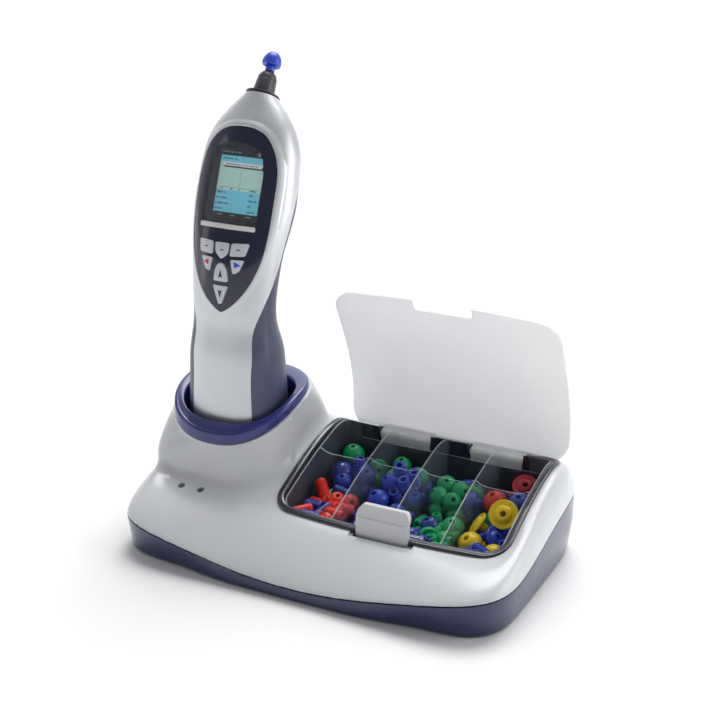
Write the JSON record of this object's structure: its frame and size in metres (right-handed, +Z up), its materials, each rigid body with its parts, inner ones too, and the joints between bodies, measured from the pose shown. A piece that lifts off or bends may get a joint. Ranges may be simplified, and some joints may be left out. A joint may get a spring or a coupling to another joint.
{
  "type": "tympanometer",
  "caption": "Handheld middle-ear analyser with screen and keys, standing in a charging cradle with a lidded, divided tray of ear tips.",
  "frame": {"origin": "middle of the cradle's footprint at the height of the rubber feet's undersides", "axes": "+Z up, -Y towards the user (front, where the screen faces), +X to the user's right, along the cradle's long side"},
  "size_m": [0.2694, 0.1681, 0.3037],
  "materials": {
    "shell_white": "smooth satin white with a cool tint",
    "tub_navy": "smooth glossy navy",
    "collar_blue": "smooth satin violet blue",
    "well_grey": "dark grey moulding, satin",
    "foot_rubber": "matt black",
    "steel": "plain steel",
    "board_green": "circuit board",
    "contact_gold": "gold-plated contact",
    "frosted": "frosted clear sheet",
    "tab_grey": "light grey satin",
    "clear": "clear moulding",
    "tip_red": "soft silicone",
    "tip_green": "soft silicone",
    "tip_blue": "soft silicone",
    "tip_yellow": "soft silicone",
    "shell_silver": "satin silver paint on plastic",
    "shell_dark": "dark blue-grey, satin",
    "battery_wrap": "shrink wrap",
    "fascia_navy": "glossy navy panel",
    "window_glass": "clear window",
    "lcd": "display panel",
    "probe_grey": "dark grey moulding",
    "key_lilac": "silver-lilac keys"
  },
  "bodies": {
    "cradle": {"lower_housing": "tub_navy", "upper_housing": "shell_white", "cradle_collar": "collar_blue", "cradle_socket": "collar_blue", "tray_well": "well_grey", "status_lamp_left": "well_grey", "status_lamp_right": "well_grey", "dc_inlet": "well_grey", "foot_1": "foot_rubber", "foot_2": "foot_rubber", "foot_3": "foot_rubber", "foot_4": "foot_rubber", "housing_screw_1": "steel", "housing_screw_2": "steel", "housing_screw_3": "steel", "housing_screw_4": "steel", "charger_board": "board_green", "charging_contact_left": "contact_gold", "charging_contact_right": "contact_gold", "hinge_pin_left": "steel", "hinge_pin_right": "steel", "latch_pin": "steel"},
    "lid": {"lid": "frosted"},
    "latch": {"latch_tab": "tab_grey"},
    "tray": {"tray_insert": "clear", "tips_red_front": "tip_red", "tips_green_back": "tip_green", "tips_blue_front": "tip_blue", "tips_blue_back": "tip_blue", "tips_green_front": "tip_green", "tips_green_rear": "tip_green", "tips_yellow_front": "tip_yellow", "tips_yellow_back": "tip_yellow"},
    "handset": {"handset_front_shell": "shell_silver", "handset_rear_shell": "shell_dark", "battery_cover": "shell_dark", "door_screw": "steel", "battery_pack": "battery_wrap", "pump_module": "well_grey", "fascia": "fascia_navy", "display_window": "window_glass", "display_module": "lcd", "keypad_board": "board_green", "handset_board": "board_green", "charge_pad_left": "contact_gold", "charge_pad_right": "contact_gold", "neck_ring": "probe_grey", "probe_body": "probe_grey", "probe_cap": "probe_grey"},
    "key_top_left": {"key_top_left": "key_lilac"},
    "key_top_mid": {"key_top_mid": "key_lilac"},
    "key_top_right": {"key_top_right": "key_lilac"},
    "key_left": {"key_left": "key_lilac"},
    "key_right": {"key_right": "key_lilac"},
    "key_up": {"key_up": "key_lilac"},
    "key_down": {"key_down": "key_lilac"},
    "ear_tip": {"fitted_ear_tip": "tip_blue"}
  },
  "joints": [
    {"name": "lid_hinge", "type": "hinge", "parent": "cradle", "child": "lid", "pos_m": [0.0422, 0.0664, 0.0506], "axis": [-1, 0, 0], "range_deg": [-85.5, 0]},
    {"name": "latch_pivot", "type": "hinge", "parent": "cradle", "child": "latch", "pos_m": [0.044, -0.0416, 0.031], "axis": [1, 0, 0], "range_deg": [0, 12], "stiffness_Nm_per_rad": 0.2, "springref_deg": -2.86},
    {"name": "tray_lift", "type": "slide", "parent": "cradle", "child": "tray", "axis": [0, 0, 1], "range_m": [0, 0.04]},
    {"name": "handset_lift", "type": "slide", "parent": "cradle", "child": "handset", "axis": [0, 0, 1], "range_m": [0, 0.06]},
    {"name": "key_top_left_press", "type": "slide", "parent": "handset", "child": "key_top_left", "axis": [0, 0.9744, -0.225], "range_m": [0, 0.0009], "stiffness_N_per_m": 400, "springref_m": -0.0002},
    {"name": "key_top_mid_press", "type": "slide", "parent": "handset", "child": "key_top_mid", "axis": [0, 0.9744, -0.225], "range_m": [0, 0.0009], "stiffness_N_per_m": 400, "springref_m": -0.0002},
    {"name": "key_top_right_press", "type": "slide", "parent": "handset", "child": "key_top_right", "axis": [0, 0.9744, -0.225], "range_m": [0, 0.0009], "stiffness_N_per_m": 400, "springref_m": -0.0002},
    {"name": "key_left_press", "type": "slide", "parent": "handset", "child": "key_left", "axis": [0, 0.9744, -0.225], "range_m": [0, 0.0009], "stiffness_N_per_m": 400, "springref_m": -0.0002},
    {"name": "key_right_press", "type": "slide", "parent": "handset", "child": "key_right", "axis": [0, 0.9744, -0.225], "range_m": [0, 0.0009], "stiffness_N_per_m": 400, "springref_m": -0.0002},
    {"name": "key_up_press", "type": "slide", "parent": "handset", "child": "key_up", "axis": [0, 0.9744, -0.225], "range_m": [0, 0.0009], "stiffness_N_per_m": 400, "springref_m": -0.0002},
    {"name": "key_down_press", "type": "slide", "parent": "handset", "child": "key_down", "axis": [0, 0.9744, -0.225], "range_m": [0, 0.0009], "stiffness_N_per_m": 400, "springref_m": -0.0002},
    {"name": "ear_tip_pull", "type": "slide", "parent": "handset", "child": "ear_tip", "axis": [0, 0.5446, 0.8387], "range_m": [0, 0.012]}
  ]
}
